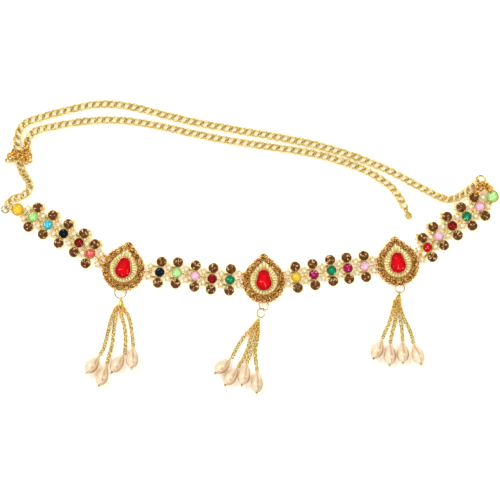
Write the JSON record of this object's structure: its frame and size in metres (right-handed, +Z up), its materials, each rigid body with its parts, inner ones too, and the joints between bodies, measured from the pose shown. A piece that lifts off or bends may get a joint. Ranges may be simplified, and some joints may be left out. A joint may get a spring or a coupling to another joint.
{
  "type": "waist chain",
  "caption": "Flat-laid waist chain: a belt of cast stone settings with pear medallions and pearl tassels, closed by a curb chain with a free adjusting tail.",
  "frame": {"origin": "middle of the outline of the laid out chain, on the surface it lies on", "axes": "+X to the wearer's left as the front is seen, +Y towards the back chain, +Z up from the surface, out of the front"},
  "size_m": [0.3314, 0.1962, 0.0087],
  "materials": {
    "gold": "polished yellow gold plate",
    "topaz": "faceted brown glass",
    "yellow": "faceted glass",
    "light_green": "faceted glass",
    "turquoise": "faceted glass",
    "navy": "faceted glass",
    "maroon": "faceted glass",
    "coral": "faceted glass",
    "pink": "faceted glass",
    "dark_red": "faceted glass",
    "green": "faceted glass",
    "magenta": "faceted glass",
    "red": "faceted glass",
    "pearl": "peach pearl coating"
  },
  "bodies": {
    "root": {"waist_chain": "gold", "tail_chain": "gold", "chain_end_tag": "gold", "left_end_ring": "gold", "right_end_ring": "gold", "left_end_setting": "gold", "right_end_setting": "gold", "left_end_stone": "yellow", "right_end_stone": "light_green", "settings_left": "gold", "settings_inner_left": "gold", "settings_inner_right": "gold", "settings_right": "gold", "topaz_left": "topaz", "topaz_inner_left": "topaz", "topaz_inner_right": "topaz", "topaz_right": "topaz", "stone_01": "light_green", "stone_02": "turquoise", "stone_03": "navy", "stone_04": "maroon", "stone_05": "coral", "stone_06": "navy", "stone_07": "light_green", "stone_08": "pink", "stone_09": "dark_red", "stone_10": "green", "stone_11": "yellow", "stone_12": "magenta", "stone_13": "green", "stone_14": "magenta", "stone_15": "pink", "stone_16": "red", "stone_17": "pink", "stone_18": "dark_red", "stone_19": "green", "stone_20": "pink", "medallion_left": "gold", "medallion_centre": "gold", "medallion_right": "gold", "red_stone_left": "red", "red_stone_centre": "red", "red_stone_right": "red", "tassel_rings_left": "gold", "tassel_rings_centre": "gold", "tassel_rings_right": "gold", "tassel_cap_left": "gold", "tassel_cap_centre": "gold", "tassel_cap_right": "gold", "tassel_strands_left": "gold", "tassel_strands_centre": "gold", "tassel_strands_right": "gold", "pearls_left": "pearl", "pearls_centre": "pearl", "pearls_right": "pearl", "head_pins_left": "gold", "head_pins_centre": "gold", "head_pins_right": "gold"}
  },
  "joints": []
}
